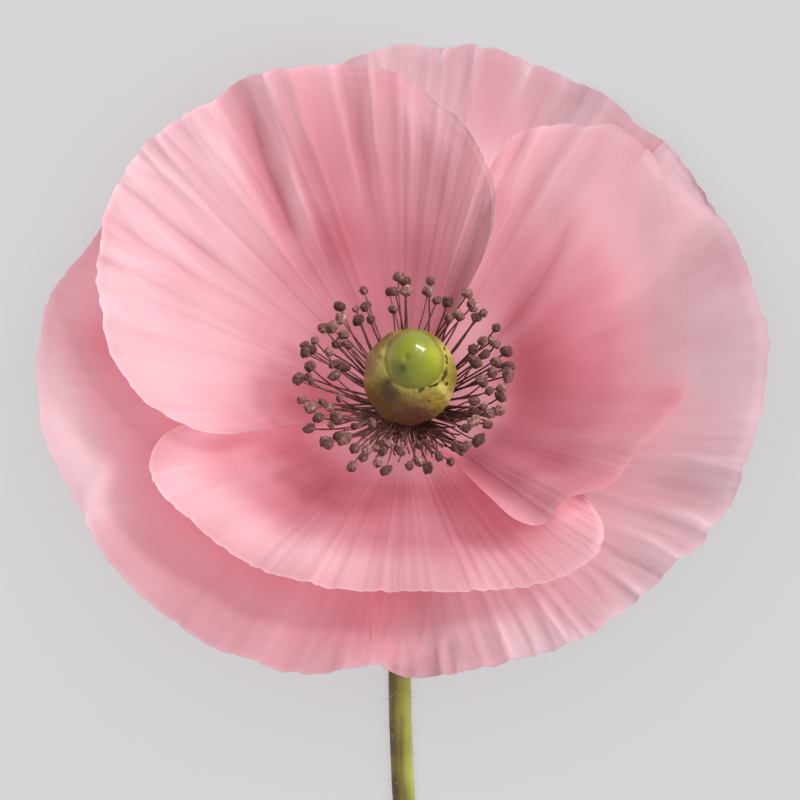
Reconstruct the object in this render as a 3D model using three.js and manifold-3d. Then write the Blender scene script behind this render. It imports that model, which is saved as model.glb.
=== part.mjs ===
// A cut poppy lying on a table: a thin stem along -Y that bends up under one open pink bloom.
// The bloom faces up and leans away from the stem until its far petal rests on the table.
// Sizes are in millimetres, angles in degrees, +Z is up and the table is at z = 0.
import * as THREE from "three";
import { mergeVertices } from "three/addons/utils/BufferGeometryUtils.js";
import Module from "manifold-3d";

const wasm = await Module();
wasm.setup();

// Driving sizes of the whole flower.
const BLOOM_LEAN = 22;
const BLOOM_RISE = 14;
const STEM_REACH = 190;
const STEM_RADIUS_AT_CUT = 1.25;
const STEM_RADIUS_AT_NECK = 1.5;
const STEM_FLAT = 0.12;
const CUT_SLANT = 35;
const NECK_STRAIGHT = 1;
const RECEPTACLE_RADIUS = 2.6;
const RECEPTACLE_BOTTOM = -3.2;
const RECEPTACLE_TOP = 2.8;
// The ovary leans a little to the right of the bloom's axis, about its foot.
const OVARY_LEAN = 3.3;
const OVARY_FOOT = 3.25;

// Where the bloom's centre is in the finished frame, whose origin is under the middle of the flower's outer box.
const BLOOM_X = 0.3;
const BLOOM_Y = 71.7;

const PETAL_THICKNESS = 0.6;
const PETAL_COLUMNS = 36;
const PETAL_ROWS = 10;
const SCALLOP_DEPTH = 0.35;
const CLAW_RADIUS = 3;

const STAMEN_COUNT = 96;
const FILAMENT_RADIUS = 0.24;
const ANTHER_RADIUS = 0.7;
const STAMEN_SEED = 11;
const STAMEN_FOOT_RADIUS = 3.6;
const STAMEN_FOOT_HEIGHT = 3.8;
// Three ranks of stamens: how far from the bloom's axis and how high their knobs are.
const STAMEN_RANKS = [
  { reach: 12.6, height: 12.2 },
  { reach: 11, height: 12.6 },
  { reach: 9.2, height: 11.6 },
];
const REACH_SPREAD = 1.6;
const HEIGHT_SPREAD = 2.4;
const TURN_SPREAD = 8;

const PINK = "#efb3bd";
const DEEP_PINK = "#e79aa6";
const STEM_GREEN = "#7f7d33";
const STAMEN_MAUVE = "#84616a";
const OVARY_OLIVE = "#8f9a33";
const CAP_GREEN = "#86b82c";

// Each petal is set in the bloom's own plane: x to the right, y away from the stem, height along the bloom's axis.
// A rim point is [azimuth, radius, height]. The claw is the narrow foot on the receptacle, from one azimuth to another.
// cup is how late the petal rises between claw and rim. A fold is a ridge, or a valley where its height is negative.
const PETALS = [
  {
    name: "petal_outer_left",
    colour: PINK,
    claw: { from: 140, to: 262, height: -2.7 },
    rim: [
      [124, 32, 0.3],
      [129, 41, 0.8],
      [140, 44.2, 3],
      [150, 44.8, 5.2],
      [160, 45.4, 6.5],
      [168, 45.8, 7.5],
      [177, 45.6, 8],
      [185, 44.8, 8],
      [196, 43.6, 8.5],
      [209, 42.7, 8.5],
      [221, 41.5, 8.5],
      [232, 40.8, 8.5],
      [242, 39.9, 8.5],
      [254, 38, 8],
      [264, 35.1, 6.3],
      [275, 33.2, 5],
      [283, 30, 4.2],
    ],
    cup: 1.3,
    folds: [],
    wave: 0.5,
    waveCount: 7,
    wavePhase: 0.4,
  },
  {
    name: "petal_outer_right",
    colour: PINK,
    claw: { from: 268, to: 392, height: -1.7 },
    rim: [
      [262, 30, 7],
      [265, 35.3, 8],
      [269, 37, 8.5],
      [276, 37.5, 9],
      [288, 37.5, 9],
      [298, 38.3, 9],
      [308, 38.9, 9],
      [322, 39.6, 9],
      [335, 41.6, 9],
      [345, 42.5, 9],
      [357, 43.7, 8.5],
      [367, 45, 8],
      [377, 45.7, 7],
      [387, 46.4, 5.4],
      [394, 46.4, 4],
      [400, 44.5, 3],
      [404, 39, 2.4],
    ],
    cup: 1.3,
    folds: [],
    wave: 0.45,
    waveCount: 7,
    wavePhase: 2.1,
  },
  {
    name: "petal_outer_upper",
    colour: PINK,
    claw: { from: 20, to: 138, height: -0.6 },
    rim: [
      [25, 41, 6.6],
      [28, 46, 7.2],
      [33, 46.4, 7.2],
      [44, 47.2, 6.7],
      [53, 47.7, 6.2],
      [61, 49.3, 5.4],
      [69, 50.2, 5],
      [76, 49.8, 5.2],
      [84, 48.8, 5.4],
      [92, 48.8, 5.4],
      [100, 47.4, 5],
      [108, 46.2, 4.2],
      [116, 44.4, 3.4],
      [124, 41.5, 3.2],
      [128, 36, 2.8],
    ],
    cup: 1.5,
    folds: [
      { azimuth: 67, width: 8, height: -2.4 },
      { azimuth: 109, width: 9, height: -2.5 },
    ],
    wave: 0.3,
    waveCount: 6,
    wavePhase: 1.2,
  },
  {
    name: "petal_inner_lower",
    colour: DEEP_PINK,
    claw: { from: 196, to: 322, height: 0.4 },
    rim: [
      [191, 23, 8.5],
      [194, 30.2, 10.5],
      [200, 32.8, 11],
      [207, 33.2, 11.5],
      [218, 31.6, 12],
      [232, 30.3, 12.5],
      [248, 29.2, 12.5],
      [261, 27.9, 12],
      [278, 28, 12],
      [295, 30.1, 12.5],
      [306, 31.9, 13],
      [314, 32.4, 12.5],
      [320, 31.1, 11],
      [325, 27.5, 9],
      [327, 23, 8],
    ],
    cup: 1.2,
    folds: [
      { azimuth: 231, width: 9, height: -1.1 },
      { azimuth: 310, width: 8, height: -1.2 },
    ],
    wave: 0.35,
    waveCount: 5,
    wavePhase: 0.9,
  },
  {
    name: "petal_inner_right",
    colour: DEEP_PINK,
    claw: { from: -50, to: 76, height: 1.4 },
    rim: [
      [-57, 19.7, 12.5],
      [-55, 23.3, 13.5],
      [-51, 25.2, 13.5],
      [-43, 25.1, 13],
      [-31, 28.1, 12.5],
      [-18, 29.8, 11.5],
      [-9, 32.2, 10],
      [0, 34, 8.8],
      [12, 35.5, 8.3],
      [22, 37.7, 8.4],
      [31, 41.4, 9.2],
      [37, 43.4, 10],
      [44, 43.5, 11],
      [53, 42.5, 11],
      [62, 40.2, 10.5],
      [69, 35.7, 9.5],
      [73, 31, 8.5],
    ],
    cup: 1.2,
    folds: [
      { azimuth: 49, width: 7, height: 1.1 },
      { azimuth: 62, width: 6, height: -0.6 },
    ],
    wave: 0.35,
    waveCount: 6,
    wavePhase: 2.6,
  },
  {
    name: "petal_inner_upper",
    colour: PINK,
    claw: { from: 66, to: 190, height: 2.4 },
    rim: [
      [60, 18.2, 10.5],
      [62, 22.7, 12],
      [67, 27.5, 13],
      [74, 31.8, 14],
      [83, 36, 15],
      [92, 39.7, 15.5],
      [101, 41.5, 16],
      [110, 42, 16.5],
      [120, 42.7, 16.5],
      [131, 43, 16.5],
      [142, 43.2, 16.5],
      [151, 42.1, 16],
      [160, 40.1, 15.5],
      [170, 37.4, 15],
      [180, 34.9, 14.5],
      [189, 31.3, 14],
      [197, 26, 13],
    ],
    cup: 1.25,
    folds: [
      { azimuth: 150, width: 6, height: -0.5 },
      { azimuth: 112, width: 7, height: 0.5 },
    ],
    wave: 0.35,
    waveCount: 8,
    wavePhase: 0.2,
  },
];

// Radii and heights along the bloom's axis of the pieces turned round it: the ovary, its cap and the stamens' ring.
const OVARY_PROFILE = [
  [0, OVARY_FOOT],
  [2, OVARY_FOOT],
  [2.4, 4.4],
  [3.5, 5.4],
  [4.6, 6.9],
  [5.3, 8.8],
  [5.65, 11],
  [5.6, 12.6],
  [5.2, 14.1],
  [4.6, 15.2],
  [4.1, 15.7],
  [0, 15.7],
];
const CAP_PROFILE = [
  [0, 16],
  [3.7, 16],
  [4, 16.2],
  [3.85, 16.7],
  [3.3, 17.35],
  [2.4, 17.9],
  [1.3, 18.2],
  [0, 18.3],
];
const RING_PROFILE = [
  [2.8, 3.4],
  [4.1, 3.4],
  [4.1, 3.9],
  [3.5, 4.2],
  [2.8, 4],
  [2.8, 3.4],
];

const radians = THREE.MathUtils.degToRad;
const lean = radians(BLOOM_LEAN);

// From the bloom's own plane to the table: lean the bloom away from the stem, then raise it.
const bloomPlace = new THREE.Matrix4()
  .makeRotationX(-lean)
  .setPosition(0, 0, BLOOM_RISE);

function polar(azimuth, radius, height) {
  const angle = radians(azimuth);
  return new THREE.Vector3(radius * Math.cos(angle), radius * Math.sin(angle), height);
}

// A repeatable random draw between 0 and 1.
function makeDraw(seed) {
  let state = seed;
  return () => {
    state = (state * 1664525 + 1013904223) % 4294967296;
    return state / 4294967296;
  };
}

function meshOf(name, geometry, colour, roughness) {
  const material = new THREE.MeshStandardMaterial({
    color: colour,
    roughness,
    metalness: 0,
    side: THREE.FrontSide,
  });
  const mesh = new THREE.Mesh(geometry, material);
  mesh.name = name;
  return mesh;
}

// A closed body from rings of points that all hold the same number, joined in turn and capped at both ends.
function loft(rings) {
  const sides = rings[0].length;
  const points = rings.flat();
  const triangles = [];
  for (let r = 0; r < rings.length - 1; r++) {
    for (let s = 0; s < sides; s++) {
      const a = r * sides + s;
      const b = r * sides + ((s + 1) % sides);
      triangles.push(a, b + sides, b, a, a + sides, b + sides);
    }
  }
  const last = (rings.length - 1) * sides;
  for (let s = 1; s < sides - 1; s++) {
    triangles.push(0, s, s + 1);
    triangles.push(last, last + s + 1, last + s);
  }
  return new THREE.BufferGeometry().setFromPoints(points).setIndex(triangles);
}

// Petals

// A point of a petal's middle surface: across runs along the rim from 0 to 1, out runs from claw to rim.
function petalPoint(petal, rimCurve, across, out) {
  const { claw } = petal;
  const foot = polar(claw.from + (claw.to - claw.from) * across, CLAW_RADIUS, claw.height);
  const rim = rimCurve.getPointAt(across);
  const azimuth = THREE.MathUtils.radToDeg(Math.atan2(rim.y, rim.x));
  // The rim is scalloped in and out by two uneven ripples, which fade before its two ends.
  const ripple = Math.sin(2 * Math.PI * 1.6 * petal.waveCount * across + petal.wavePhase)
    + 0.6 * Math.sin(2 * Math.PI * 0.7 * petal.waveCount * across);
  const scallop = SCALLOP_DEPTH * ripple * Math.sin(Math.PI * across);
  const reach = 1 + scallop / Math.hypot(rim.x, rim.y);
  rim.x *= reach;
  rim.y *= reach;
  const point = foot.clone().lerp(rim, out);
  let height = claw.height + (rim.z - claw.height) * Math.pow(out, petal.cup);
  for (const fold of petal.folds) {
    const turn = (((azimuth - fold.azimuth) % 360) + 540) % 360 - 180;
    height += fold.height * Math.pow(out, 1.5) * Math.exp(-Math.pow(turn / fold.width, 2));
  }
  const swing = 2 * Math.PI * petal.waveCount * across + petal.wavePhase;
  height += petal.wave * Math.pow(out, 4) * Math.sin(swing);
  point.z = height;
  return point;
}

// Rows of points lie closer together towards the waved rim.
function rowPlace(share) {
  return 0.4 * share + 0.6 * Math.sin((share * Math.PI) / 2);
}

function petalGeometry(petal) {
  const rimCurve = new THREE.CatmullRomCurve3(
    petal.rim.map(([azimuth, radius, height]) => polar(azimuth, radius, height)),
    false,
    "centripetal",
  );
  rimCurve.arcLengthDivisions = 400;
  const step = 1e-3;
  const upper = [];
  const lower = [];
  for (let row = 0; row <= PETAL_ROWS; row++) {
    for (let column = 0; column <= PETAL_COLUMNS; column++) {
      const across = column / PETAL_COLUMNS;
      const out = rowPlace(row / PETAL_ROWS);
      const acrossStep = across < 0.5 ? step : -step;
      const outStep = out < 0.5 ? step : -step;
      const middle = petalPoint(petal, rimCurve, across, out);
      const alongRim = petalPoint(petal, rimCurve, across + acrossStep, out)
        .sub(middle)
        .multiplyScalar(Math.sign(acrossStep));
      const alongOut = petalPoint(petal, rimCurve, across, out + outStep)
        .sub(middle)
        .multiplyScalar(Math.sign(outStep));
      const normal = alongOut.cross(alongRim).normalize();
      const half = normal.multiplyScalar(PETAL_THICKNESS / 2);
      const top = middle.clone().add(half).applyMatrix4(bloomPlace);
      const bottom = middle.clone().sub(half).applyMatrix4(bloomPlace);
      // Where the petal meets the table it lies flat on it.
      bottom.z = Math.max(bottom.z, 0);
      top.z = Math.max(top.z, PETAL_THICKNESS);
      upper.push(top);
      lower.push(bottom);
    }
  }
  const width = PETAL_COLUMNS + 1;
  const under = upper.length;
  const triangles = [];
  for (let row = 0; row < PETAL_ROWS; row++) {
    for (let column = 0; column < PETAL_COLUMNS; column++) {
      const a = row * width + column;
      const b = a + width;
      triangles.push(a, b, b + 1, a, b + 1, a + 1);
      triangles.push(under + a, under + b + 1, under + b);
      triangles.push(under + a, under + a + 1, under + b + 1);
    }
  }
  // The cut edge all round, walked with the petal's face on the left.
  const edge = [];
  for (let column = 0; column < PETAL_COLUMNS; column++) edge.push(column);
  for (let row = 0; row < PETAL_ROWS; row++) edge.push(row * width + PETAL_COLUMNS);
  for (let column = PETAL_COLUMNS; column > 0; column--) edge.push(PETAL_ROWS * width + column);
  for (let row = PETAL_ROWS; row > 0; row--) edge.push(row * width);
  edge.forEach((a, i) => {
    const b = edge[(i + 1) % edge.length];
    triangles.push(a, b, under + b, a, under + b, under + a);
  });
  return new THREE.BufferGeometry().setFromPoints([...upper, ...lower]).setIndex(triangles);
}

// Stem, with the receptacle that carries the bloom

function stemGeometry() {
  const sides = 12;
  const axis = new THREE.Vector3(0, Math.sin(lean), Math.cos(lean));
  const centre = new THREE.Vector3(0, 0, BLOOM_RISE);
  const onAxis = (height) => centre.clone().addScaledVector(axis, height);
  const axisHeight = STEM_RADIUS_AT_NECK - STEM_FLAT;

  // The neck is an arc that touches the lying stem and the bloom's axis.
  const bend = Math.PI / 2 - lean;
  const drop = (BLOOM_RISE - axisHeight) / axis.z;
  const arcTop = RECEPTACLE_BOTTOM - NECK_STRAIGHT;
  const tangent = drop + arcTop;
  const bendRadius = tangent / Math.tan(bend / 2);
  const bendStart = onAxis(-drop).y - tangent;

  const rings = [];
  function addRing(middle, direction, radius, slant = 0) {
    const side = new THREE.Vector3(1, 0, 0);
    const over = side.clone().cross(direction).normalize();
    const ring = [];
    for (let s = 0; s < sides; s++) {
      const angle = ((s + 0.5) / sides) * 2 * Math.PI;
      const point = middle
        .clone()
        .addScaledVector(side, radius * Math.cos(angle))
        .addScaledVector(over, radius * Math.sin(angle))
        .addScaledVector(direction, slant * radius * Math.sin(angle));
      point.z = Math.max(point.z, 0);
      ring.push(point);
    }
    rings.push(ring);
  }

  // The lying stem wanders a little to each side, as a grown stem does.
  const wander = new THREE.CatmullRomCurve3([
    new THREE.Vector3(2.2, -STEM_REACH, 0),
    new THREE.Vector3(4.6, -150, 0),
    new THREE.Vector3(3.6, -105, 0),
    new THREE.Vector3(0.6, -62, 0),
    new THREE.Vector3(-0.5, -46, 0),
    new THREE.Vector3(-0.8, -32, 0),
    new THREE.Vector3(0, bendStart, 0),
  ]);
  const lyingRings = 26;
  for (let i = 0; i <= lyingRings; i++) {
    const along = i / lyingRings;
    const middle = wander.getPointAt(along);
    const radius = THREE.MathUtils.lerp(STEM_RADIUS_AT_CUT, STEM_RADIUS_AT_NECK, along);
    middle.z = radius - STEM_FLAT;
    const direction = new THREE.Vector3(0, 1, 0);
    addRing(middle, direction, radius, i === 0 ? -Math.tan(radians(CUT_SLANT)) : 0);
  }
  const bendRings = 9;
  for (let i = 1; i <= bendRings; i++) {
    const turn = (bend * i) / bendRings;
    const middle = new THREE.Vector3(
      0,
      bendStart + bendRadius * Math.sin(turn),
      axisHeight + bendRadius * (1 - Math.cos(turn)),
    );
    addRing(middle, new THREE.Vector3(0, Math.cos(turn), Math.sin(turn)), STEM_RADIUS_AT_NECK);
  }
  const swell = [
    [RECEPTACLE_BOTTOM - 0.2, 1.9],
    [RECEPTACLE_BOTTOM + 0.5, 2.4],
    [RECEPTACLE_BOTTOM + 1.3, RECEPTACLE_RADIUS],
    [RECEPTACLE_TOP, RECEPTACLE_RADIUS],
  ];
  for (const [height, radius] of swell) addRing(onAxis(height), axis, radius);
  return loft(rings);
}

// Turned pieces on the bloom's axis

function turned(profile, sides) {
  const points = profile.map(([radius, height]) => new THREE.Vector2(radius, height));
  const geometry = new THREE.LatheGeometry(points, sides);
  geometry.deleteAttribute("normal");
  geometry.deleteAttribute("uv");
  // The lathe turns round Y, and the bloom's axis is Z.
  geometry.rotateX(Math.PI / 2);
  return mergeVertices(geometry, 1e-4);
}

function solidOf(geometry) {
  return new wasm.Manifold(
    new wasm.Mesh({
      numProp: 3,
      vertProperties: new Float32Array(geometry.getAttribute("position").array),
      triVerts: new Uint32Array(geometry.index.array),
    }),
  );
}

function geometryOf(solid) {
  const made = solid.getMesh();
  return new THREE.BufferGeometry()
    .setAttribute("position", new THREE.BufferAttribute(made.vertProperties, 3))
    .setIndex(new THREE.BufferAttribute(made.triVerts, 1));
}

// Stamens: a ring round the ovary's foot, with thin filaments that rise outwards to knobs of pollen

function filamentGeometry(path) {
  const sides = 3;
  const steps = 2;
  const rings = [];
  for (let i = 0; i <= steps; i++) {
    const middle = path.getPoint(i / steps);
    const direction = path.getTangent(i / steps);
    const side = new THREE.Vector3(-middle.y, middle.x, 0).normalize();
    const over = side.clone().cross(direction).normalize();
    const ring = [];
    for (let s = 0; s < sides; s++) {
      const angle = (s / sides) * 2 * Math.PI;
      ring.push(
        middle
          .clone()
          .addScaledVector(side, FILAMENT_RADIUS * Math.cos(angle))
          .addScaledVector(over, FILAMENT_RADIUS * Math.sin(angle)),
      );
    }
    rings.push(ring);
  }
  return loft(rings);
}

function antherGeometry(end, size) {
  const knob = new THREE.OctahedronGeometry(size, 0);
  knob.deleteAttribute("normal");
  knob.deleteAttribute("uv");
  knob.scale(1, 1, 0.85);
  knob.translate(end.x, end.y, end.z);
  return mergeVertices(knob, 1e-4);
}

function stamensGeometry() {
  const draw = makeDraw(STAMEN_SEED);
  let solid = solidOf(turned(RING_PROFILE, 24));
  for (let i = 0; i < STAMEN_COUNT; i++) {
    const rank = STAMEN_RANKS[i % STAMEN_RANKS.length];
    const azimuth = (i / STAMEN_COUNT) * 360 + (draw() - 0.5) * 4;
    const reach = rank.reach + (draw() - 0.5) * REACH_SPREAD;
    const height = rank.height + (draw() - 0.5) * HEIGHT_SPREAD;
    const turn = (draw() - 0.5) * TURN_SPREAD;
    const start = polar(azimuth, STAMEN_FOOT_RADIUS, STAMEN_FOOT_HEIGHT);
    const end = polar(azimuth + turn, reach, height);
    // The filament leaves the ring flat and then rises.
    const middle = polar(
      azimuth + turn * 0.3,
      THREE.MathUtils.lerp(STAMEN_FOOT_RADIUS, reach, 0.55),
      THREE.MathUtils.lerp(STAMEN_FOOT_HEIGHT, height, 0.42),
    );
    const path = new THREE.QuadraticBezierCurve3(start, middle, end);
    const size = ANTHER_RADIUS * (0.9 + 0.2 * draw());
    solid = solid.add(solidOf(filamentGeometry(path)));
    solid = solid.add(solidOf(antherGeometry(end, size)));
  }
  return geometryOf(solid);
}

// The whole flower

const flower = new THREE.Group();
flower.add(meshOf("stem", stemGeometry(), STEM_GREEN, 0.6));
for (const petal of PETALS) flower.add(meshOf(petal.name, petalGeometry(petal), petal.colour, 0.7));

// The seed case leans about the foot of the ovary.
const ovaryPlace = new THREE.Matrix4()
  .makeTranslation(0, 0, OVARY_FOOT)
  .multiply(new THREE.Matrix4().makeRotationY(radians(OVARY_LEAN)))
  .multiply(new THREE.Matrix4().makeTranslation(0, 0, -OVARY_FOOT));
const seedCase = new THREE.Group();
seedCase.applyMatrix4(ovaryPlace);
seedCase.add(meshOf("ovary", turned(OVARY_PROFILE, 28), OVARY_OLIVE, 0.5));
seedCase.add(meshOf("stigma_cap", turned(CAP_PROFILE, 28), CAP_GREEN, 0.15));

const bloomHeart = new THREE.Group();
bloomHeart.applyMatrix4(bloomPlace);
bloomHeart.add(meshOf("stamens", stamensGeometry(), STAMEN_MAUVE, 0.85));
bloomHeart.add(seedCase);
flower.add(bloomHeart);

flower.position.set(BLOOM_X, BLOOM_Y, 0);

export default flower;
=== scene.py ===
import bisect
import math
import random
from types import SimpleNamespace

import bpy
from mathutils import Matrix, Vector, noise
from mathutils.bvhtree import BVHTree


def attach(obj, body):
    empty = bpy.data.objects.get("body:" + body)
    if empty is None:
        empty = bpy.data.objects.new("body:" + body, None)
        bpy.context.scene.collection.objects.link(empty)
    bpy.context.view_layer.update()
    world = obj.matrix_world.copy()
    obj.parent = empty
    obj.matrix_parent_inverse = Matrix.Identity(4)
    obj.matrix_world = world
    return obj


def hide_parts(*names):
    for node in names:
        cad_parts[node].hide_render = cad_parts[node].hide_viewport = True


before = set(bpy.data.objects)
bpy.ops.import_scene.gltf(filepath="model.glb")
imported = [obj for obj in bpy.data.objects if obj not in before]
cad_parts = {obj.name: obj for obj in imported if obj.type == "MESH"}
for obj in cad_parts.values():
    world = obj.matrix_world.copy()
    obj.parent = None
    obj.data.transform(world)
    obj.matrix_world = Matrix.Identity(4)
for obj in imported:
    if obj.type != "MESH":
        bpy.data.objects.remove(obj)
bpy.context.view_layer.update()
print("frame loaded")

mm = 0.001  # sizes are in millimetres, the scene is in metres

# the bloom's heart above the table, and its lean away from the stem, as in the solids
bloomSeat = {"x": 0.3, "y": 71.7, "rise": 14.0, "lean": 22.0}
bloomLean = math.radians(bloomSeat["lean"])
bloomAxis = Vector((0, math.sin(bloomLean), math.cos(bloomLean)))


def fromBloom(x, y, height):
    # from the bloom's own plane to the table
    return Vector((
        bloomSeat["x"] + x,
        bloomSeat["y"] + y * math.cos(bloomLean) + height * math.sin(bloomLean),
        bloomSeat["rise"] + height * math.cos(bloomLean) - y * math.sin(bloomLean),
    ))


def polar(azimuth, radius, height):
    turn = math.radians(azimuth)
    return Vector((radius * math.cos(turn), radius * math.sin(turn), height))


def smoothLine(points, divisions=400):
    # a rounded line through the points, walked by its length from 0 to 1
    points = [Vector(point) for point in points]
    last = len(points) - 1

    def at(share):
        place = share * last
        i = min(int(place), last - 1)
        w = place - i
        p1, p2 = points[i], points[i + 1]
        p0 = points[i - 1] if i > 0 else p1 * 2 - p2
        p3 = points[i + 2] if i + 2 <= last else p2 * 2 - p1
        d0 = (p1 - p0).length ** 0.5
        d1 = (p2 - p1).length ** 0.5
        d2 = (p3 - p2).length ** 0.5
        t1 = ((p1 - p0) / d0 - (p2 - p0) / (d0 + d1) + (p2 - p1) / d1) * d1
        t2 = ((p2 - p1) / d1 - (p3 - p1) / (d1 + d2) + (p3 - p2) / d2) * d1
        bow = (p2 - p1) * 3 - t1 * 2 - t2
        twist = (p1 - p2) * 2 + t1 + t2
        return p1 + t1 * w + bow * w * w + twist * w * w * w

    spots = [at(i / divisions) for i in range(divisions + 1)]
    lengths = [0.0]
    for a, b in zip(spots, spots[1:]):
        lengths.append(lengths[-1] + (b - a).length)

    def placeAt(share):
        target = share * lengths[-1]
        i = min(max(bisect.bisect_right(lengths, target) - 1, 0), divisions - 1)
        part = (target - lengths[i]) / (lengths[i + 1] - lengths[i])
        return at((i + part) / divisions)

    return placeAt


def alongTable(table, place):
    # a smooth value between the rows of a small table
    if place <= table[0][0]:
        return table[0][1]
    for (x0, y0), (x1, y1) in zip(table, table[1:]):
        if place <= x1:
            w = (place - x0) / (x1 - x0)
            return y0 + (y1 - y0) * w * w * (3 - 2 * w)
    return table[-1][1]


def smoothStep(start, end, value):
    w = min(max((value - start) / (end - start), 0.0), 1.0)
    return w * w * (3 - 2 * w)


def rough(*place):
    # a smooth noise to both sides of nothing
    return noise.noise(Vector(place))


def spotsAt(spots, x, y):
    # soft round spots: x, y, size and strength
    return sum(
        amount * math.exp(-((x - spotX) ** 2 + (y - spotY) ** 2) / (2 * size * size))
        for spotX, spotY, size, amount in spots
    )


def deselectAll():
    bpy.ops.object.select_all(action="DESELECT")


def pick(pieces):
    deselectAll()
    for piece in pieces:
        piece.select_set(True)
    bpy.context.view_layer.objects.active = pieces[0]


def leaveMarks(piece, name, values):
    # a value for each vertex, which the piece's material reads
    marks = piece.data.attributes.new(name, "FLOAT", "POINT")
    for mark, value in zip(marks.data, values):
        mark.value = value


# camera, light and floor

photoView = {"right": -0.75, "up": 1.38, "above": 430.0, "lens": 149.63}

deselectAll()
bpy.ops.object.camera_add(
    location=(
        (bloomSeat["x"] + photoView["right"]) * mm,
        (bloomSeat["y"] + photoView["up"]) * mm,
        photoView["above"] * mm,
    ),
    rotation=(0, 0, 0),
)
camera = bpy.context.object
camera.data.lens = photoView["lens"]
camera.data.sensor_width = 36
camera.data.clip_start = 0.01
bpy.context.scene.camera = camera

studio = {
    "keyFrom": (0.70, 0.49, 0.52),   # over the flower's far right side, on the flower alone
    "keyAway": 0.8,
    "keySize": (0.20, 0.15),
    "keyPower": 2.35,
    "sparkFrom": (0.33, 0.76, 0.56),   # seen in the glossy cap alone
    "sparkSize": (0.28, 0.16),
    "sparkPower": 2.2,
    "washPower": 4.3,   # from the same side as the key, without shadows
    "tableAbove": 1.4,   # straight over the table, on the table alone
    "tableSize": (1.6, 1.6),
    "tablePower": 16.8,
    "tableWash": 67.5,   # the same without shadows
    "fill": 0.43,
    "floorTint": "#7d7d7e",
}


def tint(code):
    # a screen colour as the renderer's linear one
    parts = [int(code[i:i + 2], 16) / 255 for i in (1, 3, 5)]
    return tuple(p / 12.92 if p <= 0.04045 else ((p + 0.055) / 1.055) ** 2.4 for p in parts) + (1.0,)


def newMaterial(name):
    # a material with short ways to add to its nodes
    material = bpy.data.materials.new(name)
    material.use_nodes = True
    tree = material.node_tree
    shader = tree.nodes["Principled BSDF"]

    def add(kind, inputs=None, **settings):
        node = tree.nodes.new("ShaderNode" + kind)
        for key, value in settings.items():
            setattr(node, key, value)
        for socket, value in (inputs or {}).items():
            if isinstance(value, bpy.types.NodeSocket):
                tree.links.new(value, node.inputs[socket])
            else:
                node.inputs[socket].default_value = value
        return node

    def calc(operation, a, b):
        return add("Math", {0: a, 1: b}, operation=operation).outputs[0]

    def total(first, *others):
        for other in others:
            first = calc("ADD", first, other)
        return first

    def swing(value, strength):
        # a noise to both sides of nothing
        return calc("MULTIPLY", calc("SUBTRACT", value, 0.5), strength)

    def speckle(place, scale, detail, roughness=0.5):
        inputs = {"Vector": place, "Scale": scale, "Detail": detail, "Roughness": roughness}
        return add("TexNoise", inputs).outputs["Fac"]

    def mark(attribute):
        return add("Attribute", attribute_name=attribute).outputs["Fac"]

    def mixed(share, a, b, **settings):
        return add("Mix", {0: share, 6: a, 7: b}, data_type="RGBA", **settings).outputs[2]

    def ramp(place, stops):
        node = add("ValToRGB", {"Fac": place})
        marks = node.color_ramp.elements
        while len(marks) < len(stops):
            marks.new(0.5)
        for stop, (at, colour) in zip(marks, stops):
            stop.position = at
            stop.color = tint(colour)
        return node.outputs["Color"]

    def dress(colour, relief, strength, distance, values):
        # the colour, the fine relief and the shader's own values
        bump = add("Bump", {"Strength": strength, "Distance": distance, "Height": relief}).outputs["Normal"]
        tree.links.new(colour, shader.inputs["Base Color"])
        tree.links.new(bump, shader.inputs["Normal"])
        setValues(values)
        return bump

    def setValues(values):
        for socket, value in values.items():
            shader.inputs[socket].default_value = value

    return SimpleNamespace(
        material=material, tree=tree, shader=shader, add=add, calc=calc, total=total, swing=swing,
        speckle=speckle, mark=mark, mixed=mixed, ramp=ramp, dress=dress, setValues=setValues,
    )


deselectAll()
bpy.ops.mesh.primitive_plane_add(size=6, location=(0, 0, 0))
floor = bpy.context.object
floor.name = "studioFloor"
paint = newMaterial("paleFloor")
paint.setValues({"Base Color": tint(studio["floorTint"]), "Roughness": 0.9})
floor.data.materials.append(paint.material)

aim = fromBloom(0, 0, 8) * mm


def softbox(name, place, size, power, onTable=False):
    # a light on the table alone, or on all but the table
    bpy.ops.object.light_add(type="AREA", location=place)
    box = bpy.context.object
    box.name = name
    box.data.shape = "RECTANGLE"
    box.data.size, box.data.size_y = size
    box.data.energy = power
    box.rotation_euler = (aim - place).to_track_quat("-Z", "Y").to_euler()
    lit = bpy.data.collections.new(name + "Lit")
    lit.objects.link(floor)
    box.light_linking.receiver_collection = lit
    lit.collection_objects[0].light_linking.link_state = "INCLUDE" if onTable else "EXCLUDE"
    return box


keyPlace = aim + Vector(studio["keyFrom"]).normalized() * studio["keyAway"]
sparkPlace = aim + Vector(studio["sparkFrom"]).normalized() * studio["keyAway"]
overTable = Vector((aim.x, aim.y, studio["tableAbove"]))
key = softbox("keyLight", keyPlace, studio["keySize"], studio["keyPower"])
spark = softbox("sparkLight", sparkPlace, studio["sparkSize"], studio["sparkPower"])
wash = softbox("washLight", keyPlace, studio["keySize"], studio["washPower"])
softbox("tableLight", overTable, studio["tableSize"], studio["tablePower"], True)
tableWash = softbox("tableWash", overTable, studio["tableSize"], studio["tableWash"], True)
spark.visible_diffuse = False
for box in (key, wash, tableWash):
    box.visible_glossy = False
for box in (wash, tableWash):
    box.data.use_shadow = False

world = bpy.data.worlds.new("studioFill")
world.use_nodes = True
background = world.node_tree.nodes["Background"]
background.inputs["Color"].default_value = (0.98, 0.98, 1.0, 1)
background.inputs["Strength"].default_value = studio["fill"]
bpy.context.scene.world = world
bpy.context.scene.view_settings.view_transform = "Standard"
print("camera, light and floor ready")


# petals

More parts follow.
